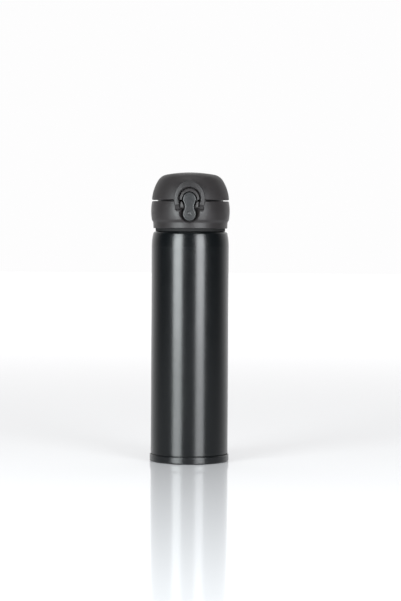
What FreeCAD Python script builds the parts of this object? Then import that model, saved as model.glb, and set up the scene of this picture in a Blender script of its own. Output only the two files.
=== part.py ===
"""Vacuum flask, half a litre, with a spring-open drinking lid.

A double-wall steel bottle stands on a pressed base cap. A screw-on cap unit carries the drinking spout,
a flip lid hinged at the back, a push button at the front and a lock ring that folds up over the lid's boss.

Frame: millimetres, +Z up, origin on the bottle's axis at the plane it stands on. The button faces -Y and
the lid's hinge is at +Y. "r" is always a distance from the bottle's axis.
"""

import FreeCAD, Part
import math
import os

from FreeCAD import Vector as V

# ---------------------------------------------------------------- driving dimensions
BODY_R = 32.5            # painted shell, outside
WALL = 0.6               # outer shell sheet
LINER_WALL = 0.5         # inner vessel sheet
VACUUM_GAP = 2.2         # between the shell and the liner
NECK_R = 22.5            # outside of the steel neck
MOUTH_R = 20.5           # inside of the steel mouth

SHOULDER_Z = 181.1       # the shell starts to close in
SHOULDER_SWEEP = (47.0, 13.0)     # radius and turn of the shoulder's long gentle curve
SHOULDER_CORNER_R = 2.4
NECK_FILLET_R = 1.5
LIP_Z = 208.3            # top of the neck's two walls, under the rolled lip

BASE_CAP_R = 33.3
BASE_CAP_TOP = 6.1
TUCK_R = 31.9            # the shell's end inside the base cap
DIMPLE_Z = 4.2           # sealed hole in the vacuum base, from the table
LINER_R = BODY_R - WALL - VACUUM_GAP
LINER_FLOOR_Z = 8.0
LINER_CORNER_R = 6.0     # at the liner's bottom

THREAD_LEAD = 4.0
THREAD_CLEAR = 0.4       # crest to root, on the radius
THREAD_DEPTH = 1.2
THREAD_TURNS = 1.75
THREAD_Z = 198.0
SLEEVE_IN = NECK_R + THREAD_DEPTH + THREAD_CLEAR
SLEEVE_OUT = SLEEVE_IN + 1.9

COLLAR_TOP = 212.4       # ledge that carries the spout's flange
COLLAR_BOTTOM = 193.65   # just over the shoulder when the cap is screwed down
COVER_BOTTOM = 196.2
SPLIT_Z = 218.95         # top edge of the cover
SPLIT_GAP = 1.0          # shadow gap between the cover and the lid
EDGE_SOFT = 0.8          # rounding of the lid's and the cover's meeting edges
COVER_R = 32.4           # cover and lid, at the split
COVER_SKIRT_R = 31.1     # at the bottom edge
COVER_DRAFT = 2.5        # degrees by which the skirt widens upwards
COVER_BULGE = 0.5        # swell of the cover's belt over its ends
COVER_WALL = 1.8
COVER_IN_R = COVER_R - COVER_WALL
DECK_TOP = 216.0         # the floor inside the cover, round the spout
DECK_THICK = 2.0

HINGE_Y = 33.6
HINGE_Z = 219.4
BARREL_R = 2.6
HINGE_PIN_R = 1.0
RUNNING = 0.05           # radial clearance of a pin in its bore
SWING = 0.35             # clearance between parts that swing past each other
COVER_LUG = (4.2, 8.0)   # the cover's two hinge lugs, in |x|
LID_LUG = (8.3, 12.5)    # the lid's two hinge lugs, in |x|
LID_SPRING_R = 1.75
LID_SPRING_WIRE = 0.35
SPRING_LEG_X = 3.3       # the torsion spring's legs, to each side of the middle

LATCH_Y = -31.6          # pin that the button and the lock ring turn on
LATCH_Z = 213.4
LATCH_PIN_R = 0.75
LATCH_PIN_HALF = 11.3

HEAD_Z, HEAD_R = 220.7, 5.45      # button, upper lobe
THUMB_Z, THUMB_R = 208.1, 5.4     # button, lower lobe
WAIST_R = 8.0                     # hollow curve on each side of the button's waist
BUTTON_GAP = 1.15                 # round the button, in the cover's well
NOTCH_GAP = 0.75                  # round the button's head, in the lid's notch
BUTTON_BACK = -30.0
BUTTON_FRONT_R = 34.4
WELL_FLOOR = -27.6
BOSS_PROUD = 0.95                 # the bosses round the button, above the lid and the cover
BOSS_HALF = 7.5
LID_BOSS_R = 8.1                  # half-round boss of the lid, inside the lock ring

RING_HOLE_Z, RING_HOLE_R = 221.2, 9.4
RING_Z, RING_HALF = 220.9, 12.9   # widest point of the lock ring
RING_ARCH_R = 16.4                # its pointed arch, each side
RING_PEAK_Z = 236.75
RING_BACK_R = 33.4                # its back clears the lid's boss
RING_THICK = 2.0                  # at its middle
RING_FRONT_R = 75.0               # its front is nearly flat
RING_FOOT = (8.3, 11.6)           # the eyes at the ends of its legs, in |x|
RING_FOOT_R = 1.65
RING_POCKET = (8.0, 12.0)         # the cover's pockets for them, in |x|
RING_POCKET_GAP = 0.4
RING_RELIEF_R = 3.1               # room in front of the pin for the legs to swing

SPOUT_R = 15.5
SPOUT_TOP = 224.4
PLUG_R = 19.2
PLUG_BOTTOM = 201.9
GROOVE_Z = (203.3, 206.2)

LID_LINE_Z = SPLIT_Z + SPLIT_GAP + EDGE_SOFT     # the lid's side starts here
LID_LEAN = 4.25                   # degrees by which the side leans in at its start
LID_SIDE = (34.0, 28.6)           # radius and turn of the lid's side
LID_CORNER = (10.5, 46.5)         # radius and turn of its shoulder
SCORE_R = 20.4                    # fine line scored round the lid's crown
LINER_PLATE_Z = 228.3             # underside of the inner lid's plate

FRONT = -60.0            # a plane well in front of everything, where cuts start


# ---------------------------------------------------------------- outlines and solids
def xz(point):
    return V(point[0], 0, point[1])


def face_of(*items):
    """A face in the XZ plane. An item is a point or a (from, via, to) piece, whose via is None on a line."""
    edges, first, here = [], None, None

    def line_to(point):
        if here is not None and math.dist(here, point) > 1e-6:
            edges.append(Part.LineSegment(xz(here), xz(point)).toShape())

    for item in items:
        piece = item if isinstance(item[0], (tuple, list)) else (item, None, item)
        start, via, end = piece
        line_to(start)
        first = first or start
        if via is not None:
            edges.append(Part.Arc(xz(start), xz(via), xz(end)).toShape())
        elif math.dist(start, end) > 1e-6:
            edges.append(Part.LineSegment(xz(start), xz(end)).toShape())
        here = end
    line_to(first)
    return Part.Face(Part.Wire(edges))


def turned(*items):
    return face_of(*items).revolve(V(0, 0, 0), V(0, 0, 1), 360)


def trace(start, moves, heading=0.0, inset=0.0):
    """A run of tangent lines and arcs, as (from, via, to) pieces.

    The heading is in degrees from +Z towards the axis. A move is a length, or a (radius, turn) pair whose
    turn is positive towards the axis. inset shifts the whole run inwards by a wall's thickness."""
    t = math.radians(heading)
    r, z = start[0] - inset * math.cos(t), start[1] - inset * math.sin(t)
    pieces = []
    for move in moves:
        if not isinstance(move, tuple):
            end = (r - move * math.sin(t), z + move * math.cos(t))
            pieces.append(((r, z), None, end))
        else:
            arm = move[0] - inset if move[1] > 0 else -move[0] - inset
            turn = math.radians(move[1])
            cr, cz = r - arm * math.cos(t), z - arm * math.sin(t)
            via = (cr + arm * math.cos(t + turn / 2), cz + arm * math.sin(t + turn / 2))
            end = (cr + arm * math.cos(t + turn), cz + arm * math.sin(t + turn))
            pieces.append(((r, z), via, end))
            t += turn
        r, z = end
    return pieces


def mirrored(point):
    return (-point[0], point[1])


def backwards(pieces):
    return [(end, via, start) for start, via, end in reversed(pieces)]


def end_of(pieces):
    return pieces[-1][2]


def rod_x(radius, x0, x1, y, z):
    """A round bar along X."""
    return Part.makeCylinder(radius, x1 - x0, V(x0, y, z), V(1, 0, 0))


def both_sides(radius, span, y, z):
    """Two round bars along X, at span[0] to span[1] on each side of the middle."""
    return rod_x(radius, span[0], span[1], y, z).fuse(rod_x(radius, -span[1], -span[0], y, z))


def block(x, y, z):
    return Part.makeBox(x[1] - x[0], y[1] - y[0], z[1] - z[0], V(x[0], y[0], z[0]))


def slab(face, y0, y1):
    """A face in the XZ plane, made solid from y0 to y1."""
    moved = face.copy()
    moved.translate(V(0, y0, 0))
    return moved.extrude(V(0, y1 - y0, 0))


def gusset(points, x0, x1):
    """An outline of (y, z) points, made solid from x0 to x1."""
    corners = [V(x0, y, z) for y, z in points]
    return Part.Face(Part.makePolygon(corners + corners[:1])).extrude(V(x1 - x0, 0, 0))


def coil(radius, pitch, turns, wire_r):
    """A wire coil about +Z from z = 0, centred on its path."""
    helix = Part.makeHelix(pitch, pitch * turns, radius)
    ring = Part.Wire(Part.Circle(V(radius, 0, 0), V(0, 1, 0), wire_r).toShape())
    return Part.Wire(helix.Edges).makePipeShell([ring], True, True)


def thread(root_r, crest_r, z, turns):
    """A right-hand ridge with a 30-degree flank, from root_r to crest_r, whichever is the larger."""
    bury = 0.25 if root_r < crest_r else -0.25
    half_root, half_crest = 0.85, 0.4
    points = [
        (root_r - bury, -half_root), (crest_r, -half_crest),
        (crest_r, half_crest), (root_r - bury, half_root),
    ]
    loop = Part.makePolygon([V(r, 0, z + h) for r, h in points + points[:1]])
    helix = Part.makeHelix(THREAD_LEAD, THREAD_LEAD * turns, root_r)
    helix.translate(V(0, 0, z))
    return Part.Wire(helix.Edges).makePipeShell([loop], True, True)


# ---------------------------------------------------------------- bottle
def shoulder_moves():
    """From the shell's side to the neck's top."""
    corner_turn = 90.0 - SHOULDER_SWEEP[1]
    rise = trace((BODY_R, SHOULDER_Z), [SHOULDER_SWEEP, (SHOULDER_CORNER_R, corner_turn)])
    flat = end_of(rise)[0] - NECK_R - NECK_FILLET_R
    neck = LIP_Z - end_of(rise)[1] - NECK_FILLET_R
    return [SHOULDER_SWEEP, (SHOULDER_CORNER_R, corner_turn), flat, (NECK_FILLET_R, -90.0), neck]


def outer_shell():
    """Painted tube, tucked in at the base cap, with the threaded neck drawn from it."""
    groove_z, tuck_z, radius = BASE_CAP_TOP + 0.5, 2.9, 0.5
    side = (BODY_R, groove_z + radius)
    outer = trace((BODY_R, SHOULDER_Z), shoulder_moves())
    inner = trace((BODY_R, SHOULDER_Z), shoulder_moves(), inset=WALL)
    groove = (
        (TUCK_R + 0.1, groove_z),
        (BODY_R - 0.15, groove_z + 0.15),
        side,
    )
    shell = turned(
        (TUCK_R, tuck_z), (TUCK_R, groove_z), groove, *outer, *backwards(inner),
        (BODY_R - WALL, groove_z + 1.2), (TUCK_R - WALL, groove_z + 0.4), (TUCK_R - WALL, tuck_z),
    )
    return shell.fuse(thread(NECK_R, NECK_R + THREAD_DEPTH, THREAD_Z, THREAD_TURNS)).removeSplitter()


def liner_moves():
    """From the liner's bottom corner, up its side and in through an S-bend to the mouth."""
    side, shoulder_r, turn = 162.0, 9.0, 70.0
    share = 1 - math.cos(math.radians(turn))
    throat_r = (LINER_R - MOUTH_R - LINER_WALL) / share - shoulder_r
    bends = math.sin(math.radians(turn)) * (shoulder_r + throat_r)
    neck = LIP_Z - LINER_FLOOR_Z - LINER_CORNER_R - side - bends
    return [side, (shoulder_r, turn), (throat_r, -turn), neck]


def inner_liner():
    """Drawn inner vessel. Its rolled lip closes over the shell's neck, where the two are welded."""
    corner, floor_z, moves = LINER_CORNER_R, LINER_FLOOR_Z, liner_moves()
    start = (LINER_R, floor_z + corner)
    bend = math.sqrt(0.5)
    low = (LINER_R - corner * (1 - bend), floor_z + corner * (1 - bend))
    small = corner - LINER_WALL
    low_in = (LINER_R - corner + small * bend, floor_z + corner - small * bend)
    lip_half = (NECK_R - MOUTH_R) / 2
    lip = ((NECK_R, LIP_Z), (NECK_R - lip_half, LIP_Z + lip_half), (MOUTH_R, LIP_Z))
    inner = backwards(trace(start, moves, inset=LINER_WALL))
    return turned(
        (0, floor_z), (LINER_R - corner, floor_z), ((LINER_R - corner, floor_z), low, start),
        *trace(start, moves), (NECK_R, LIP_Z), lip, *inner,
        ((LINER_R - LINER_WALL, start[1]), low_in, (LINER_R - corner, floor_z + LINER_WALL)),
        (0, floor_z + LINER_WALL),
    )


def reflector_foil():
    """Metal foil wrapped round the liner, inside the vacuum."""
    inside, outside, low, high = LINER_R + 0.15, LINER_R + 0.35, 16.0, 174.0
    return turned((inside, low), (outside, low), (outside, high), (inside, high))


def vacuum_base():
    """Plate welded across the shell's lower end. Its dimple holds the evacuation hole."""
    edge, thick, top, hole = TUCK_R - WALL - 0.02, 0.6, 6.0, 0.8
    return turned(
        (hole, DIMPLE_Z), (4.0, DIMPLE_Z), (5.6, top - thick), (edge - thick, top - thick),
        (edge - thick, 2.9), (edge, 2.9), (edge, top), (5.2, top),
        (3.8, DIMPLE_Z + thick), (hole, DIMPLE_Z + thick),
    )


def evacuation_seal():
    """Solder bead that closes the evacuation hole."""
    low, top, stem_r = DIMPLE_Z - 1.1, DIMPLE_Z + 0.7, 0.75
    face = ((0, low), (1.8, DIMPLE_Z - 0.7), (2.6, DIMPLE_Z))
    return turned(face, (stem_r, DIMPLE_Z), (stem_r, top), (0, top))


def getter():
    """Gas getter pill in its clipped tray, on the plate inside the vacuum."""
    tray = Part.makeCylinder(4.6, 0.3, V(13, 0, 6.0))
    pill = Part.makeCone(4.0, 3.6, 1.0, V(13, 0, 6.3))
    return tray.fuse(pill)


def base_cap():
    """Pressed, painted cup over the bottle's end: a standing rim, a raised floor and a rolled upper lip."""
    inside, lip, foot, edge, floor = TUCK_R + 0.1, 0.75, 27.0, 1.1, 1.4
    bend = edge * (1 - math.sqrt(0.5))
    top = BASE_CAP_TOP - lip
    return turned(
        (0, floor), (foot - 1.5, floor), (foot, 0), (BASE_CAP_R - edge, 0),
        ((BASE_CAP_R - edge, 0), (BASE_CAP_R - bend, bend), (BASE_CAP_R, edge)),
        ((BASE_CAP_R, top), ((BASE_CAP_R + inside) / 2, BASE_CAP_TOP), (inside, top)),
        (inside, 2.6), (inside - 1.2, floor + 0.8), (0, floor + 0.8),
    )


# ---------------------------------------------------------------- cap unit, which unscrews as one
def threaded_collar():
    """Inner sleeve that screws on the neck. Its foot closes the cover from below, as a narrow dark band."""
    foot_top, foot_r, ledge, ledge_r = COVER_BOTTOM + 0.9, 29.3, 1.5, 20.0
    sleeve = turned(
        (SLEEVE_IN + 0.6, COLLAR_BOTTOM), (foot_r - 0.4, COLLAR_BOTTOM), (foot_r, COLLAR_BOTTOM + 0.4),
        (foot_r, foot_top), (SLEEVE_OUT, foot_top), (SLEEVE_OUT, COLLAR_TOP), (ledge_r, COLLAR_TOP),
        (ledge_r, COLLAR_TOP - ledge), (SLEEVE_IN, COLLAR_TOP - ledge), (SLEEVE_IN, COLLAR_BOTTOM + 0.6),
    )
    below = 1.55  # axial distance to the bottle's ridge, whose lower flank it pulls on
    ridge = thread(SLEEVE_IN, SLEEVE_IN - THREAD_DEPTH, THREAD_Z - below, THREAD_TURNS)
    return sleeve.fuse(ridge).removeSplitter()


def drinking_spout():
    """Spout, floor with its pouring and vent holes, and the plug that carries the neck gasket."""
    flange_r, flange_top, floor_top = 23.5, 213.8, 214.2
    groove_r, bore = PLUG_R - 1.0, PLUG_R - 2.0
    rim_out, rim_in, rim_z = SPOUT_R - 0.3, 13.5, SPOUT_TOP - 0.85
    body = turned(
        (0, floor_top - 1.4), (bore - 2.0, floor_top - 1.4), (bore, COLLAR_TOP - 1.6),
        (bore, PLUG_BOTTOM), (PLUG_R - 0.4, PLUG_BOTTOM), (PLUG_R, PLUG_BOTTOM + 0.4),
        (PLUG_R, GROOVE_Z[0]), (groove_r, GROOVE_Z[0]), (groove_r, GROOVE_Z[1]), (PLUG_R, GROOVE_Z[1]),
        (PLUG_R, COLLAR_TOP), (flange_r, COLLAR_TOP),
        (flange_r, flange_top), (SPOUT_R, flange_top),
        ((rim_out, rim_z), ((rim_out + rim_in) / 2, SPOUT_TOP), (rim_in, rim_z)),
        (11.8, 217.5), (11.5, floor_top), (0, floor_top),
    )
    pour = Part.makeCylinder(7.5, 4, V(0, -2.2, 211))
    vent = Part.makeCylinder(1.1, 4, V(0, 8.6, 211))
    return body.cut(pour).cut(vent)


def neck_gasket():
    """Silicone ring with two lips, in the plug's groove."""
    back, low, high, tip = PLUG_R - 0.85, GROOVE_Z[0] + 0.15, GROOVE_Z[1] - 0.15, MOUTH_R - 0.08
    middle = (low + high) / 2
    return turned(
        (back, low), (tip - 1.0, low), (tip, low + 0.55), (tip, low + 0.75), (tip - 0.45, middle),
        (tip, high - 0.75), (tip, high - 0.55), (tip - 1.0, high), (back, high),
    )


def button_outline(grow=0.0):
    """Two lobes joined by a hollow waist. grow offsets the whole outline outwards."""
    head, thumb, waist = HEAD_R + grow, THUMB_R + grow, WAIST_R - grow
    reach_head, reach_thumb = HEAD_R + WAIST_R, THUMB_R + WAIST_R
    span = HEAD_Z - THUMB_Z
    down = (reach_head**2 - reach_thumb**2 + span**2) / (2 * span)
    wz = HEAD_Z - down
    wx = math.sqrt(reach_head**2 - down**2)
    head_touch = (wx * HEAD_R / reach_head, HEAD_Z - down * HEAD_R / reach_head)
    scale = grow / reach_head
    head_touch = (head_touch[0] + wx * scale, head_touch[1] - down * scale)
    up = wz - THUMB_Z
    thumb_touch = (wx * thumb / reach_thumb, THUMB_Z + up * thumb / reach_thumb)

    return face_of(
        (mirrored(head_touch), (0, HEAD_Z + head), head_touch),
        (head_touch, (wx - waist, wz), thumb_touch),
        (thumb_touch, (0, THUMB_Z - thumb), mirrored(thumb_touch)),
        (mirrored(thumb_touch), (waist - wx, wz), mirrored(head_touch)),
    )


def cover_side(grow=0.0):
    """The cover's outer line, from the bottom edge to the top edge, moved outwards by grow."""
    turn, bend_r, slant = 31.0, 3.0, 0.6
    skirt = [4.0, (bend_r, -turn), slant, (bend_r, turn)]
    lower = trace((COVER_SKIRT_R, COVER_BOTTOM + 0.4), skirt, -COVER_DRAFT, inset=-grow)
    foot = end_of(lower)
    bulge = (max(foot[0], COVER_R + grow) + COVER_BULGE, (foot[1] + SPLIT_Z) / 2)
    belt = (foot, bulge, (COVER_R + grow, SPLIT_Z - EDGE_SOFT))
    return lower + [belt]


def cover_boss():
    """Raised collar round the button's well: a drafted round with straight flanks up to the split."""
    back, front, round_back, round_front, flank = -30.1, -35.0, 9.3, 8.0, 0.7
    middle = THUMB_Z + 1.4
    collar = Part.makeCone(round_back, round_front, back - front, V(0, back, middle), V(0, -1, 0))
    corners = [
        V(-BOSS_HALF - flank, back, middle), V(BOSS_HALF + flank, back, middle),
        V(BOSS_HALF - flank, front, middle), V(-BOSS_HALF + flank, front, middle),
    ]
    upright = Part.Face(Part.makePolygon(corners + corners[:1])).extrude(V(0, 0, SPLIT_Z - middle))
    bound = turned((0, COVER_BOTTOM), *cover_side(grow=BOSS_PROUD), (0, SPLIT_Z - 0.02))
    return collar.fuse(upright).common(bound)


def thumb_funnel():
    """Sloping recess round the button's thumb end, up to the waist."""
    mouth_r, mouth_y, depth, ahead, top = 8.5, -32.4, 2.4, 3.0, THUMB_Z + 5.7
    start = V(0, mouth_y - ahead, THUMB_Z + 1.4)
    cone = Part.makeCone(mouth_r + ahead, mouth_r - depth, ahead + depth, start, V(0, 1, 0))
    return cone.common(block((-12, 12), (FRONT, 0), (COVER_BOTTOM, top)))


def cover_shell():
    """The cover's wall, its deck round the spout, and the rib that holds the collar."""
    side, bend = cover_side(), EDGE_SOFT * (1 - math.sqrt(0.5))
    skirt_in, under, step = 29.6, DECK_TOP - DECK_THICK, 0.2
    shell = turned(
        (skirt_in, COVER_BOTTOM), (COVER_SKIRT_R - 0.4, COVER_BOTTOM), *side,
        ((COVER_R, SPLIT_Z - EDGE_SOFT), (COVER_R - bend, SPLIT_Z - bend), (COVER_R - EDGE_SOFT, SPLIT_Z)),
        (COVER_IN_R + step, SPLIT_Z), (COVER_IN_R + step, DECK_TOP + 2 * step),
        (COVER_IN_R - step, DECK_TOP), (SPOUT_R + 0.1, DECK_TOP), (SPOUT_R + 0.1, under), (COVER_IN_R, under),
        (COVER_IN_R, 205.5), (skirt_in, 200.5),
    )
    rib_in, rib_out, rib_low = SLEEVE_OUT + 0.2, SLEEVE_OUT + 1.4, 206.0
    return shell.fuse(turned((rib_in, rib_low), (rib_out, rib_low), (rib_out, under), (rib_in, under)))


def button_housing():
    """Thick wall behind the button's well and behind the lock ring's pockets."""
    front, top = -31.5, DECK_TOP - 0.5
    behind_button = block((-8, 8), (front, WELL_FLOOR + 1.1), (199.9, top))
    behind_ring = block((-13, 13), (front, LATCH_Y + 3.2), (LATCH_Z - 4.0, top))
    return behind_button.fuse(behind_ring).common(Part.makeCylinder(COVER_IN_R + 0.2, 40, V(0, 0, 190)))


def hinge_lugs():
    """The cover's two lugs, joined below the spring, with their barrels round the hinge pin."""
    root_y, foot_z, back_y = COVER_R - 1.5, 207.5, HINGE_Y + BARREL_R
    line = [
        (root_y, foot_z), (root_y + 1.5, foot_z), (back_y, 215.5), (back_y, HINGE_Z),
        (HINGE_Y, HINGE_Z), (root_y, SPLIT_Z),
    ]
    spring_room = rod_x(BARREL_R + SWING, -COVER_LUG[0], COVER_LUG[0], HINGE_Y, HINGE_Z)
    lugs = gusset(line, -COVER_LUG[1], COVER_LUG[1]).cut(spring_room)
    return lugs.fuse(both_sides(BARREL_R, COVER_LUG, HINGE_Y, HINGE_Z)), spring_room


def cap_cover():
    """Outer cover of the cap unit, with the button's well, the lock ring's pockets and two hinge lugs."""
    lugs, spring_room = hinge_lugs()
    solid = cover_shell().fuse([button_housing(), cover_boss()]).cut(spring_room).fuse(lugs)
    lid_room = (COVER_LUG[1] + 0.02, LID_LUG[1] + 0.4)
    ring_room = both_sides(RING_RELIEF_R, RING_POCKET, LATCH_Y, LATCH_Z)
    before_pin = block((-13, 13), (FRONT, LATCH_Y + 0.6), (205, 222))
    pin_end = LATCH_PIN_HALF + 0.3
    cuts = [
        both_sides(BARREL_R + SWING, lid_room, HINGE_Y, HINGE_Z),
        ring_room.common(before_pin),
        slab(button_outline(BUTTON_GAP), WELL_FLOOR, FRONT),
        thumb_funnel(),
        both_sides(RING_FOOT_R + RING_POCKET_GAP, RING_POCKET, LATCH_Y, LATCH_Z),
        rod_x(LATCH_PIN_R + RUNNING, -pin_end, pin_end, LATCH_Y, LATCH_Z),
        rod_x(HINGE_PIN_R + RUNNING, -15, 15, HINGE_Y, HINGE_Z),
        spring_slot(-SPRING_LEG_X, -1),
    ]
    for tool in cuts:
        solid = solid.cut(tool)
    return solid.removeSplitter()


def spring_slot(x, way):
    """Room for the torsion spring's leg at x, which leaves the hinge up or down (way 1 or -1)."""
    half, length = 0.6, 5.6
    heights = sorted((HINGE_Z, HINGE_Z + way * length))
    return block((x - half, x + half), (HINGE_Y - 2.4, HINGE_Y - 1.0), heights)


def hinge_pin():
    """Steel pin through the lid's and the cover's lugs."""
    half = LID_LUG[1] - 0.3
    return rod_x(HINGE_PIN_R, -half, half, HINGE_Y, HINGE_Z)


def latch_pin():
    """Steel pin through the button's waist. The lock ring's feet turn on its ends."""
    return rod_x(LATCH_PIN_R, -LATCH_PIN_HALF, LATCH_PIN_HALF, LATCH_Y, LATCH_Z)


def lid_spring():
    """Torsion spring on the hinge pin. One leg presses the cover and the other lifts the lid."""
    turns, half = 6.0, SPRING_LEG_X
    winding = coil(LID_SPRING_R, 2 * half / turns, turns, LID_SPRING_WIRE)
    winding.rotate(V(0, 0, 0), V(0, 1, 0), 90)
    winding.translate(V(-half, HINGE_Y, HINGE_Z))
    winding.rotate(V(0, HINGE_Y, HINGE_Z), V(1, 0, 0), -90)
    for x, way in ((-half, -1), (half, 1)):
        knee = V(x, HINGE_Y - LID_SPRING_R, HINGE_Z - 0.15 * way)
        winding = winding.fuse(Part.makeCylinder(LID_SPRING_WIRE - 0.04, 5.0, knee, V(0, 0, way)))
    return winding


def button_spring():
    """Compression spring behind the button's thumb end."""
    wire, back, front = 0.3, WELL_FLOOR, BUTTON_BACK - 0.5
    length = abs(front - back) - 2 * wire - 0.1
    turns = 3.0
    spring = coil(1.8, length / turns, turns, wire)
    spring.rotate(V(0, 0, 0), V(1, 0, 0), 90)
    spring.translate(V(0, back - wire - 0.05, THUMB_Z - 0.6))
    return spring


# ---------------------------------------------------------------- lid
def lid_line(inset=0.0):
    """The lid's outer line from just above the split to the middle of its top."""
    start = (COVER_R, LID_LINE_Z)
    left = 90.0 - LID_LEAN - LID_SIDE[1] - LID_CORNER[1]
    shoulder = end_of(trace(start, [LID_SIDE, LID_CORNER], LID_LEAN))
    crown = shoulder[0] / math.sin(math.radians(left))
    return trace(start, [LID_SIDE, LID_CORNER, (crown, left)], LID_LEAN, inset)


def tombstone(half, foot, spring_z):
    """A face that is square at the foot and round from spring_z up."""
    top = ((-half, spring_z), (0, spring_z + half), (half, spring_z))
    return face_of((-half, foot), top, (half, foot))


def lid_boss():
    """Half-round boss over the button's head, open at the split and following the lid's dome."""
    foot = SPLIT_Z + SPLIT_GAP
    outline = tombstone(LID_BOSS_R, foot, RING_HOLE_Z)
    skin, under = lid_line(inset=-BOSS_PROUD), lid_line(inset=0.6)
    outer = turned((0, foot), (COVER_R + BOSS_PROUD, foot), *skin)
    inner = turned((0, foot - 1), (COVER_R - 0.6, foot - 1), *under)
    return slab(outline, -25.0, FRONT).common(outer).cut(inner)


def boss_groove():
    """Groove sunk in the lid's skin, round the boss."""
    foot, depth, outer_r = SPLIT_Z + SPLIT_GAP - 1.0, 1.0, 9.2
    band = tombstone(outer_r, foot, RING_HOLE_Z).cut(tombstone(LID_BOSS_R, foot, RING_HOLE_Z))
    under = turned((0, foot - 1), (COVER_R - depth, foot - 1), *lid_line(inset=depth))
    return slab(band, -25.0, FRONT).cut(under)


def lid_shell():
    """Outer lid: a domed shell with the boss, the notch for the button's head and two hinge lugs."""
    edge_z, wall = SPLIT_Z + SPLIT_GAP, COVER_WALL
    corner = EDGE_SOFT * (1 - math.sqrt(0.5))
    outer, inner = lid_line(), backwards(lid_line(inset=wall))
    shell = turned(
        (COVER_R - wall, edge_z), (COVER_R - EDGE_SOFT, edge_z),
        ((COVER_R - EDGE_SOFT, edge_z), (COVER_R - corner, edge_z + corner), (COVER_R, edge_z + EDGE_SOFT)),
        *outer, *inner,
    )
    crown_start, crown_top = outer[-1][0], outer[-1][2]
    crown_rise = crown_top[1] - crown_start[1]
    crown_r = (crown_start[0] ** 2 + crown_rise**2) / (2 * crown_rise)
    score_z = crown_top[1] - crown_r + math.sqrt(crown_r**2 - SCORE_R**2)
    score = Part.makeTorus(SCORE_R, 0.35, V(0, 0, score_z + 0.1))
    root_y, arm_top, back_y = 30.2, 227.4, HINGE_Y + BARREL_R
    arm = [
        (root_y, edge_z + 0.2), (HINGE_Y, HINGE_Z), (back_y, HINGE_Z), (back_y, HINGE_Z + 1.2),
        (root_y + 1.3, arm_top), (root_y, arm_top),
    ]
    arms = [gusset(arm, LID_LUG[0], LID_LUG[1]), gusset(arm, -LID_LUG[1], -LID_LUG[0])]
    inside = turned((0, edge_z - 1), (COVER_R - wall + 0.1, edge_z - 1), *lid_line(inset=wall - 0.1))
    arms = [arm.cut(inside) for arm in arms]
    solid = shell.fuse([lid_boss(), *arms, both_sides(BARREL_R, LID_LUG, HINGE_Y, HINGE_Z)])
    cuts = [
        score,
        boss_groove(),
        slab(tombstone(HEAD_R + NOTCH_GAP, edge_z - 1, HEAD_Z), -26.0, FRONT),
        rod_x(BARREL_R + SWING, -COVER_LUG[1] - 0.25, COVER_LUG[1] + 0.25, HINGE_Y, HINGE_Z),
        rod_x(HINGE_PIN_R + RUNNING, -15, 15, HINGE_Y, HINGE_Z),
        spring_slot(SPRING_LEG_X, 1),
    ]
    for tool in cuts:
        solid = solid.cut(tool)
    return solid.removeSplitter()


def lid_liner():
    """Inner lid: a skirt that drops inside the cover's rim, a plate, the seal's seat and the weld rib."""
    skirt_r, thick, low, shoulder_z, plate_r = 27.6, 1.5, 217.4, 222.5, 24.6
    top = LINER_PLATE_Z + thick
    rib_in, rib_out, rib_top = 14.0, 15.2, 240.1
    body = turned(
        (3.2, LINER_PLATE_Z), (plate_r - 0.7, LINER_PLATE_Z), (skirt_r - thick, shoulder_z - 0.4),
        (skirt_r - thick, low), (skirt_r, low), (skirt_r, shoulder_z), (plate_r, top),
        (rib_out, top), (rib_out, rib_top), (rib_in, rib_top), (rib_in, top), (3.2, top),
    )
    slot = block((-2.4, 2.4), (-34, -24), (low - 1, 225.0))
    return body.cut(slot)


def spout_seal():
    """Silicone stopper with a domed face that closes the spout, held by its button in the liner's plate."""
    face_z, ring_r, rim_r = 220.9, 13.2, 15.2
    stem_r, head_r, head_z = 2.9, 4.3, LINER_PLATE_Z + 1.5
    return turned(
        (0, face_z), ((0, face_z), (8.0, face_z + 0.45), (12.3, face_z + 1.6)),
        (ring_r, face_z + 2.5), (ring_r, SPOUT_TOP + 0.35), (rim_r, SPOUT_TOP + 0.35),
        (rim_r, SPOUT_TOP + 1.9),
        (rim_r - 1.8, LINER_PLATE_Z - 0.1), (stem_r, LINER_PLATE_Z - 0.1), (stem_r, head_z + 0.1),
        (head_r, head_z + 0.1), (head_r - 1.2, head_z + 1.5), (0, head_z + 1.5),
    )


# ---------------------------------------------------------------- button and lock ring
def push_button():
    """Lever that turns on the latch pin: thumb face below, latch nose behind its head."""
    low, middle, high = (-0.6, THUMB_Z - 7), (0, 211.0), (-1.6, HEAD_Z + 7)

    def front(depth):
        face_r = BUTTON_FRONT_R - depth
        arc = tuple((face_r + lean, z) for lean, z in (low, middle, high))
        return turned((0, low[1]), arc, (0, high[1]))

    body = slab(button_outline(), BUTTON_BACK, FRONT).common(front(0))
    rim = [e for e in body.Edges if e.BoundBox.YMax < BUTTON_BACK - 0.6 and e.Length > 3]
    body = body.makeFillet(0.8, rim)
    sunk = slab(button_outline(-1.2), BUTTON_BACK - 1.0, FRONT).cut(front(0.4))
    dimple = Part.makeSphere(2.6, V(0, -BUTTON_FRONT_R - 1.1, THUMB_Z + 0.6))
    nose = block((-1.9, 1.9), (BUTTON_BACK - 0.5, -27.6), (221.6, 223.4))
    spring_seat = Part.makeCylinder(2.4, 0.5, V(0, BUTTON_BACK, THUMB_Z - 0.6), V(0, -1, 0))
    bore = rod_x(LATCH_PIN_R + RUNNING, -9, 9, LATCH_Y, LATCH_Z)
    return body.cut([sunk, dimple, spring_seat, bore]).fuse(nose).removeSplitter()


def on_wall(edge, solid):
    """Whether an edge lies on the surface of a solid."""
    return all(solid.Shells[0].distToShape(Part.Vertex(v.Point))[0] < 0.01 for v in edge.Vertexes)


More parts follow.
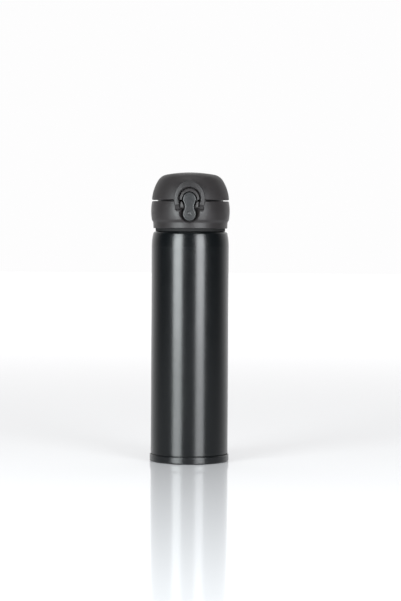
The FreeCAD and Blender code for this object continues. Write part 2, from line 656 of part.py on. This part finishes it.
def ring_outline():
    """A pointed arch with a round hole, open at the foot, whose legs end in round feet."""
    centre_x, tip_half, foot_r = RING_HALF - RING_ARCH_R, 1.2, RING_FOOT_R - 0.05
    foot_x = (RING_FOOT[0] + RING_FOOT[1]) / 2

    def arch(x):
        return (x, RING_Z + math.sqrt(RING_ARCH_R**2 - (abs(x) - centre_x) ** 2))

    foot_out = (foot_x + foot_r, LATCH_Z)
    foot_in = (foot_x - foot_r, LATCH_Z)
    heel = (foot_x, LATCH_Z - foot_r)
    waist = (RING_HALF - 0.2, 217.2)
    gate = (foot_in[0], 218.0)
    side, tip = (RING_HALF, RING_Z), arch(tip_half)
    right = [(foot_in, heel, foot_out), (foot_out, waist, side), (side, arch(9.0), tip)]
    left = [tuple(mirrored(point) for point in piece) for piece in backwards(right)]
    plate = face_of(gate, *right, (tip, (0, RING_PEAK_Z), mirrored(tip)), *left, mirrored(gate))
    hole = Part.Circle(V(0, 0, RING_HOLE_Z), V(0, 1, 0), RING_HOLE_R).toShape()
    return plate.cut(Part.Face(Part.Wire(hole)))


def lock_ring():
    """Lock ring: a flat-fronted band that closes round the lid's boss, standing just clear of the lid."""
    top, low = 237.6, 200.0

    def leaning(radius):
        """A round wall of this radius that leans back over the lid from the height of the split."""
        arc = ((radius, 223.0), (radius - 0.45, 230.4), (radius - 1.75, top))
        return turned((0, low), (radius, low), arc, (0, top))

    front = leaning(RING_FRONT_R)
    front.translate(V(0, RING_FRONT_R - RING_BACK_R - RING_THICK, 0))
    band = slab(ring_outline(), -25.0, FRONT).common(front).cut(leaning(RING_BACK_R))
    rim = [edge for edge in band.Edges if edge.BoundBox.ZLength > 0.05 and on_wall(edge, front)]
    band = band.makeChamfer(0.5, rim)
    heel_y = LATCH_Y - 1.2
    taper = gusset([(-36.2, 218.0), (heel_y, LATCH_Z), (heel_y, 205), (-40, 205), (-40, 218.0)], -15, 15)
    ring = band.cut(taper).fuse(both_sides(RING_FOOT_R, RING_FOOT, LATCH_Y, LATCH_Z))
    return ring.cut(rod_x(LATCH_PIN_R + RUNNING, -15, 15, LATCH_Y, LATCH_Z)).removeSplitter()


# ---------------------------------------------------------------- export
NODES = {
    "outer_shell": outer_shell,
    "inner_liner": inner_liner,
    "reflector_foil": reflector_foil,
    "vacuum_base": vacuum_base,
    "evacuation_seal": evacuation_seal,
    "getter": getter,
    "base_cap": base_cap,
    "neck_gasket": neck_gasket,
    "threaded_collar": threaded_collar,
    "drinking_spout": drinking_spout,
    "cap_cover": cap_cover,
    "hinge_pin": hinge_pin,
    "latch_pin": latch_pin,
    "lid_spring": lid_spring,
    "button_spring": button_spring,
    "lid_shell": lid_shell,
    "lid_liner": lid_liner,
    "spout_seal": spout_seal,
    "push_button": push_button,
    "lock_ring": lock_ring,
}

os.makedirs("parts", exist_ok=True)
for name, make in NODES.items():
    shape = make()
    solids = shape.Solids
    print(f"{name}: {len(solids)} solid(s), valid {shape.isValid()}, {shape.Volume:.1f} mm3")
    shape.exportStep(f"parts/{name}.step")
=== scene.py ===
import math

import bpy
from mathutils import Matrix, Vector

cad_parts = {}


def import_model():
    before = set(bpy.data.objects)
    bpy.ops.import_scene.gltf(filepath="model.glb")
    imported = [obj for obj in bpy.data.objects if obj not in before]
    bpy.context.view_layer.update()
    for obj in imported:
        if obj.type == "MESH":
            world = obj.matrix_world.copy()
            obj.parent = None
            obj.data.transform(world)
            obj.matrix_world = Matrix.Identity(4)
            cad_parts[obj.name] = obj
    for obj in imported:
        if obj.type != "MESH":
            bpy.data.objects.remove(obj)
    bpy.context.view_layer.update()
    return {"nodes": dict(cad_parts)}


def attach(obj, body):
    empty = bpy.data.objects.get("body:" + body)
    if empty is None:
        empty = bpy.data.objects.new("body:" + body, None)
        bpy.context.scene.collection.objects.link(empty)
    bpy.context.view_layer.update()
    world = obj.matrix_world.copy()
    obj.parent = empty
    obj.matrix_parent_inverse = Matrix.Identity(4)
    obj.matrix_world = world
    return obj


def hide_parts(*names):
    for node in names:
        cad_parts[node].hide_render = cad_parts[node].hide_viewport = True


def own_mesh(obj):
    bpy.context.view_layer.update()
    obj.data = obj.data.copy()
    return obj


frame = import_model()
nodes = frame["nodes"]

SHARP_ANGLE = math.radians(28)       # between faces that meet in an edge
NECK_BARE_R = 0.0248                 # the steel neck is unpainted inside this radius
NECK_BARE_Z = 0.1900                 # and above this height

WHITE = (0.985, 0.982, 0.985)        # the studio behind the flask
DARK = (0.05, 0.05, 0.054)           # the studio in front of it
FLOOR_HALF = 6.0

STRIP_DISTANCE = 1.25                # of the two upright lights from the flask
STRIP_LOW, STRIP_HIGH = 0.02, 0.72
OVERHEAD_DISTANCE = 0.25
OVERHEAD_LOW, OVERHEAD_HIGH = 1.35, 1.95

LENS = 124.4                         # mm, on a 36 mm sensor
CAMERA_AT = (0.0089, -1.75, 0.2045)
CAMERA_TURN, CAMERA_DIP, CAMERA_ROLL = 1.2, 2.26, 0.34     # degrees


# ---------------------------------------------------------------- small node-tree helpers
class Tree:
    """A material's node tree, with short calls to add nodes and join them."""

    def __init__(self, name):
        self.material = bpy.data.materials.new(name)
        self.material.use_nodes = True
        self.tree = self.material.node_tree
        self.tree.nodes.clear()
        self.out = self.node("ShaderNodeOutputMaterial")

    def node(self, kind, **settings):
        made = self.tree.nodes.new(kind)
        for key, value in settings.items():
            setattr(made, key, value)
        return made

    def join(self, source, target):
        self.tree.links.new(source, target)

    def feed(self, node, key, value):
        """A value, or another node's socket, goes into a node's input."""
        socket = node.inputs[key]
        if isinstance(value, bpy.types.NodeSocket):
            self.join(value, socket)
        else:
            socket.default_value = value

    def place(self):
        return self.node("ShaderNodeTexCoord").outputs["Object"]

    def axes(self):
        """X, Y and Z of the point, in metres."""
        parts = self.node("ShaderNodeSeparateXYZ")
        self.join(self.place(), parts.inputs[0])
        return parts.outputs

    def stretch(self, scale):
        mapping = self.node("ShaderNodeMapping")
        self.join(self.place(), mapping.inputs["Vector"])
        mapping.inputs["Scale"].default_value = scale
        return mapping.outputs["Vector"]

    def noise(self, scale, detail=2.0, rough=0.5, vector=None):
        made = self.node("ShaderNodeTexNoise")
        self.join(vector or self.place(), made.inputs["Vector"])
        made.inputs["Scale"].default_value = scale
        made.inputs["Detail"].default_value = detail
        made.inputs["Roughness"].default_value = rough
        return made.outputs["Fac"]

    def spots(self, scale, vector=None):
        made = self.node("ShaderNodeTexVoronoi")
        self.join(vector or self.place(), made.inputs["Vector"])
        made.inputs["Scale"].default_value = scale
        return made.outputs["Distance"]

    def math(self, kind, a, b=0.0, c=0.0):
        made = self.node("ShaderNodeMath", operation=kind)
        for i, value in enumerate((a, b, c)):
            self.feed(made, i, value)
        return made.outputs[0]

    def span(self, value, low, high, to_low=0.0, to_high=1.0, smooth=False):
        """The value's place between low and high, carried over to to_low and to_high."""
        made = self.node("ShaderNodeMapRange", interpolation_type="SMOOTHSTEP" if smooth else "LINEAR")
        self.join(value, made.inputs["Value"])
        limits = {"From Min": low, "From Max": high, "To Min": to_low, "To Max": to_high}
        for key, number in limits.items():
            made.inputs[key].default_value = number
        return made.outputs["Result"]

    def mix(self, factor, a, b):
        made = self.node("ShaderNodeMix", data_type="RGBA")
        self.feed(made, "Factor", factor)
        for key, colour in ((6, a), (7, b)):
            self.feed(made, key, (*colour, 1.0) if isinstance(colour, tuple) else colour)
        return made.outputs[2]

    def bump(self, height, distance, strength, normal=None):
        made = self.node("ShaderNodeBump")
        made.inputs["Distance"].default_value = distance
        made.inputs["Strength"].default_value = strength
        self.join(height, made.inputs["Height"])
        if normal is not None:
            self.join(normal, made.inputs["Normal"])
        return made.outputs["Normal"]

    def soft_edge(self, radius):
        made = self.node("ShaderNodeBevel", samples=6)
        made.inputs["Radius"].default_value = radius
        return made.outputs["Normal"]

    def principled(self, **inputs):
        made = self.node("ShaderNodeBsdfPrincipled")
        for key, value in inputs.items():
            name = key.replace("_", " ")
            if isinstance(value, tuple):
                value = (*value, 1.0)
            self.feed(made, name, value)
        return made.outputs["BSDF"]

    def finish(self, shader):
        self.join(shader, self.out.inputs["Surface"])
        return self.material


# ---------------------------------------------------------------- finishes
def steel_shader(t, rough=(0.2, 0.34), grain=(60.0, 60.0, 2600.0), tint=(0.60, 0.595, 0.58)):
    """Turned and brushed stainless steel: the grain runs round the axis."""
    lines = t.noise(1.0, 4.0, 0.6, t.stretch(grain))
    cloud = t.noise(55.0, 3.0)
    darker = tuple(c * 0.86 for c in tint)
    colour = t.mix(t.math("MULTIPLY_ADD", lines, 0.6, t.math("MULTIPLY", cloud, 0.4)), darker, tint)
    roughness = t.span(lines, 0.3, 0.7, rough[0], rough[1])
    normal = t.bump(lines, 0.00002, 0.5)
    return t.principled(
        Base_Color=colour, Metallic=1.0, Roughness=roughness, Normal=normal, Anisotropic=0.5)


def shell_paint():
    """Satin black baked paint with a faint orange peel; bare steel where the threaded neck starts."""
    t = Tree("shell_paint")
    peel = t.noise(900.0, 2.0, 0.45)
    grit = t.spots(3800.0)
    cloud = t.noise(26.0, 3.0)
    handled = t.noise(90.0, 4.0, 0.62)
    colour = t.mix(cloud, (0.0016, 0.0024, 0.0029), (0.0026, 0.0036, 0.0042))
    roughness = t.math("ADD", t.span(handled, 0.3, 0.75, 0.195, 0.235), t.span(grit, 0.0, 0.8, 0.0, 0.02))
    normal = t.bump(grit, 0.000006, 0.35, t.bump(peel, 0.000035, 0.35, t.soft_edge(0.0003)))
    paint = t.principled(
        Base_Color=colour, Roughness=roughness, Normal=normal, Specular_IOR_Level=0.5, IOR=1.5)
    x, y, z = t.axes()
    radius = t.math("SQRT", t.math("ADD", t.math("MULTIPLY", x, x), t.math("MULTIPLY", y, y)))
    ragged = t.math("MULTIPLY_ADD", t.noise(160.0, 2.0), 0.0006, radius)
    inside = t.span(ragged, NECK_BARE_R, NECK_BARE_R + 0.0003, 1.0, 0.0)
    neck = t.math("MULTIPLY", inside, t.span(z, NECK_BARE_Z, NECK_BARE_Z + 0.0002))
    both = t.node("ShaderNodeMixShader")
    t.join(neck, both.inputs[0])
    t.join(paint, both.inputs[1])
    t.join(steel_shader(t), both.inputs[2])
    return t.finish(both.outputs[0])


def base_paint():
    """Slightly lighter paint on the base cap, scuffed where it is set down."""
    t = Tree("base_paint")
    peel = t.noise(900.0, 2.0, 0.45)
    grit = t.spots(3600.0)
    foot = t.span(t.axes()[2], 0.0, 0.0009, 1.0, 0.0)
    scuff = t.math("MULTIPLY", foot, t.span(t.noise(700.0, 5.0, 0.7), 0.5, 0.62))
    paint = t.mix(t.noise(40.0, 3.0), (0.0028, 0.0036, 0.0042), (0.0042, 0.0052, 0.0060))
    colour = t.mix(scuff, paint, (0.05, 0.05, 0.052))
    handled = t.span(t.noise(110.0, 4.0), 0.3, 0.7, 0.22, 0.27)
    roughness = t.math("ADD", handled, t.math("MULTIPLY", scuff, 0.2))
    normal = t.bump(grit, 0.000008, 0.4, t.bump(peel, 0.00003, 0.35, t.soft_edge(0.00035)))
    return t.finish(t.principled(Base_Color=colour, Roughness=roughness, Normal=normal))


def moulding(name, dark, light, rough, grain=0.00003, edge=0.0004):
    """Moulded charcoal plastic with a fine spark-eroded skin, polished here and there by touch."""
    t = Tree(name)
    skin = t.noise(3400.0, 3.0, 0.6)
    pits = t.spots(2600.0)
    cloud = t.noise(38.0, 4.0, 0.55)
    touched = t.noise(120.0, 3.0, 0.6)
    colour = t.mix(t.span(cloud, 0.3, 0.7), dark, light)
    worn = t.span(touched, 0.3, 0.7, rough[0], rough[1])
    roughness = t.math("ADD", worn, t.span(skin, 0.3, 0.7, -0.03, 0.03))
    normal = t.bump(pits, grain * 0.5, 0.5, t.bump(skin, grain, 0.6, t.soft_edge(edge)))
    return t.finish(t.principled(
        Base_Color=colour, Roughness=roughness, Normal=normal, Specular_IOR_Level=0.45))


def inner_moulding(name, rough, shine):
    """Black polypropylene of the inner parts, with faint flow marks from the mould."""
    t = Tree(name)
    flow = t.noise(1.0, 3.0, 0.5, t.stretch((45.0, 45.0, 240.0)))
    fine = t.noise(1500.0, 2.0)
    colour = t.mix(flow, (0.006, 0.006, 0.0063), (0.010, 0.010, 0.0104))
    roughness = t.span(flow, 0.3, 0.7, rough[0], rough[1])
    normal = t.bump(fine, 0.00001, 0.4, t.soft_edge(0.00025))
    return t.finish(t.principled(
        Base_Color=colour, Roughness=roughness, Normal=normal, Specular_IOR_Level=shine))


def silicone():
    """Pale translucent silicone, powdery to the touch."""
    t = Tree("silicone")
    cloud = t.noise(70.0, 3.0)
    powder = t.noise(2400.0, 3.0, 0.65)
    colour = t.mix(cloud, (0.53, 0.53, 0.51), (0.62, 0.62, 0.60))
    roughness = t.span(powder, 0.3, 0.7, 0.42, 0.56)
    normal = t.bump(powder, 0.00001, 0.4, t.soft_edge(0.0002))
    shader = t.principled(Base_Color=colour, Roughness=roughness, Normal=normal, Subsurface_Weight=0.25)
    shader.node.inputs["Subsurface Radius"].default_value = (0.0018, 0.0016, 0.0014)
    shader.node.inputs["Subsurface Scale"].default_value = 1.0
    return t.finish(shader)


def steel():
    t = Tree("brushed_steel")
    return t.finish(steel_shader(t))


def pin_steel():
    """Blackened steel of the pins, with the drawing grain along them."""
    t = Tree("pin_steel")
    along = (90.0, 2600.0, 2600.0)
    return t.finish(steel_shader(t, rough=(0.32, 0.44), grain=along, tint=(0.055, 0.053, 0.052)))


def spring_steel():
    """Hard-drawn spring wire, a little darker in patches."""
    t = Tree("spring_steel")
    draw = t.noise(1800.0, 3.0, 0.6)
    patch = t.noise(300.0, 3.0)
    colour = t.mix(patch, (0.40, 0.39, 0.37), (0.58, 0.57, 0.55))
    return t.finish(t.principled(
        Base_Color=colour, Metallic=1.0, Roughness=t.span(draw, 0.3, 0.7, 0.22, 0.36),
        Normal=t.bump(draw, 0.00001, 0.4)))


def foil():
    """Thin bright foil with the creases it was wrapped with."""
    t = Tree("foil")
    crease = t.spots(120.0, t.stretch((1.0, 1.0, 0.4)))
    fine = t.noise(500.0, 5.0, 0.7)
    colour = t.mix(fine, (0.74, 0.75, 0.77), (0.85, 0.86, 0.87))
    return t.finish(t.principled(
        Base_Color=colour, Metallic=1.0, Roughness=t.span(fine, 0.3, 0.7, 0.16, 0.3),
        Normal=t.bump(fine, 0.00005, 0.5, t.bump(crease, 0.0004, 0.6))))


def solder():
    """Dull cast bead with a wrinkled skin."""
    t = Tree("solder")
    wrinkle = t.noise(900.0, 4.0, 0.7)
    colour = t.mix(wrinkle, (0.30, 0.30, 0.29), (0.46, 0.46, 0.45))
    return t.finish(t.principled(
        Base_Color=colour, Metallic=1.0, Roughness=t.span(wrinkle, 0.3, 0.7, 0.38, 0.6),
        Normal=t.bump(wrinkle, 0.00006, 0.7)))


finishes = {
    "outer_shell": shell_paint(),
    "base_cap": base_paint(),
    "cap_cover": moulding(
        "cover_moulding", (0.0166, 0.0145, 0.0149), (0.0218, 0.0192, 0.0196), rough=(0.36, 0.45)),
    "lid_shell": moulding(
        "lid_moulding", (0.0182, 0.0157, 0.0161), (0.0235, 0.0206, 0.0210), rough=(0.44, 0.54)),
    "push_button": moulding(
        "button_moulding", (0.029, 0.030, 0.031), (0.037, 0.038, 0.039), rough=(0.24, 0.32),
        grain=0.000015),
    "lock_ring": moulding(
        "ring_moulding", (0.0150, 0.0136, 0.0139), (0.0196, 0.0180, 0.0184), rough=(0.34, 0.42),
        grain=0.00002, edge=0.0005),
    "threaded_collar": inner_moulding("collar_moulding", (0.66, 0.74), 0.3),
    "reflector_foil": foil(),
    "evacuation_seal": solder(),
}
shared = (
    (inner_moulding("inner_moulding", (0.30, 0.38), 0.5), ("drinking_spout", "lid_liner")),
    (steel(), ("inner_liner", "vacuum_base", "getter")),
    (pin_steel(), ("hinge_pin", "latch_pin")),
    (spring_steel(), ("lid_spring", "button_spring")),
    (silicone(), ("neck_gasket", "spout_seal")),
)
for finish, names in shared:
    for name in names:
        finishes[name] = finish

for name, node in nodes.items():
    node.data.materials.clear()
    node.data.materials.append(finishes[name])
    node.data.shade_smooth()
    node.data.set_sharp_from_angle(angle=SHARP_ANGLE)


def button_coil():
    """The button's spring, copied into a mesh of its own that rides with the cap unit, in place of the
    hidden original.
    """
    coil = bpy.data.objects.new("button_coil", nodes["button_spring"].data.copy())
    bpy.context.scene.collection.objects.link(coil)
    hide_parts("button_spring")
    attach(coil, "cap_unit")
    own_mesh(coil)


button_coil()


# ---------------------------------------------------------------- studio
def world():
    """Dark in front and white behind, so that the black paint has bright rims; white where it is seen."""
    made = bpy.data.worlds.new("studio")
    bpy.context.scene.world = made
    made.use_nodes = True
    tree = made.node_tree
    tree.nodes.clear()

    def mix(factor, a, b):
        node = tree.nodes.new("ShaderNodeMix")
        node.data_type = "RGBA"
        tree.links.new(factor, node.inputs[0])
        for key, colour in ((6, a), (7, b)):
            if isinstance(colour, tuple):
                node.inputs[key].default_value = (*colour, 1.0)
            else:
                tree.links.new(colour, node.inputs[key])
        return node.outputs[2]

    parts = tree.nodes.new("ShaderNodeSeparateXYZ")
    tree.links.new(tree.nodes.new("ShaderNodeTexCoord").outputs["Generated"], parts.inputs[0])
    back = tree.nodes.new("ShaderNodeMapRange")
    back.interpolation_type = "SMOOTHSTEP"
    back.inputs["From Min"].default_value = 0.05
    back.inputs["From Max"].default_value = 0.85
    tree.links.new(parts.outputs[1], back.inputs["Value"])
    seen = tree.nodes.new("ShaderNodeLightPath").outputs["Is Camera Ray"]
    ground = tree.nodes.new("ShaderNodeBackground")
    tree.links.new(mix(seen, mix(back.outputs["Result"], DARK, WHITE), WHITE), ground.inputs["Color"])
    out = tree.nodes.new("ShaderNodeOutputWorld")
    tree.links.new(ground.outputs[0], out.inputs["Surface"])


def floor():
    """Plain pale floor with a soft mirror in it, which glows faintly towards the back."""
    half = FLOOR_HALF
    corners = [(-half, -half, 0), (half, -half, 0), (half, half, 0), (-half, half, 0)]
    mesh = bpy.data.meshes.new("floor")
    mesh.from_pydata(corners, [], [(0, 1, 2, 3)])
    made = bpy.data.objects.new("floor", mesh)
    bpy.context.scene.collection.objects.link(made)
    t = Tree("floor")
    glow = t.span(t.axes()[1], 0.0, 2.4, 0.08, 0.34, smooth=True)
    mesh.materials.append(t.finish(t.principled(
        Base_Color=(0.88, 0.885, 0.90), Roughness=0.07, Specular_IOR_Level=0.36,
        Emission_Color=(0.985, 0.985, 1.0), Emission_Strength=glow)))


def softbox(name, azimuth, distance, heights, width, watts, colour=(1, 1, 1), aim=None):
    """Soft light that faces the flask, or aim. Azimuth is from the front, positive towards +X."""
    low, high = heights
    data = bpy.data.lights.new(name, "AREA")
    data.shape = "RECTANGLE"
    data.size, data.size_y = width, high - low
    data.energy, data.color = watts, colour
    made = bpy.data.objects.new(name, data)
    bpy.context.scene.collection.objects.link(made)
    a = math.radians(azimuth)
    spot = Vector((distance * math.sin(a), -distance * math.cos(a), (low + high) / 2))
    target = aim or Vector((0, 0, spot.z))
    facing = (target - spot).to_track_quat("-Z", "Y").to_matrix().to_4x4()
    made.matrix_world = Matrix.Translation(spot) @ facing
    made.visible_camera = False


def lights():
    """Two upright strips that draw the two long highlights, and a weak light from above."""
    strip = (STRIP_LOW, STRIP_HIGH)
    above = (OVERHEAD_LOW, OVERHEAD_HIGH)
    softbox("strip_left", -35.4, STRIP_DISTANCE, strip, 0.57, 17.6, (0.935, 0.99, 1.0))
    softbox("strip_right", 31.6, STRIP_DISTANCE, strip, 0.53, 14.5, (0.945, 0.975, 1.0))
    softbox("overhead", 0, OVERHEAD_DISTANCE, above, 0.9, 5.0, aim=Vector((0, 0, 0.2)))


def camera():
    """About level with the button, a little to the right, with a long lens."""
    scene = bpy.context.scene
    data = bpy.data.cameras.new("camera")
    made = bpy.data.objects.new("camera", data)
    scene.collection.objects.link(made)
    data.lens, data.sensor_width = LENS, 36.0
    data.clip_start, data.clip_end = 0.05, 40.0
    turn = Matrix.Rotation(math.radians(CAMERA_TURN), 4, "Z")
    place = Matrix.Translation(CAMERA_AT)
    tilt = Matrix.Rotation(math.radians(90.0 - CAMERA_DIP), 4, "X")
    roll = Matrix.Rotation(math.radians(CAMERA_ROLL), 4, "Z")
    made.matrix_world = turn @ place @ tilt @ roll
    scene.camera = made


world()
floor()
lights()
camera()
bpy.context.scene.view_settings.view_transform = "Standard"
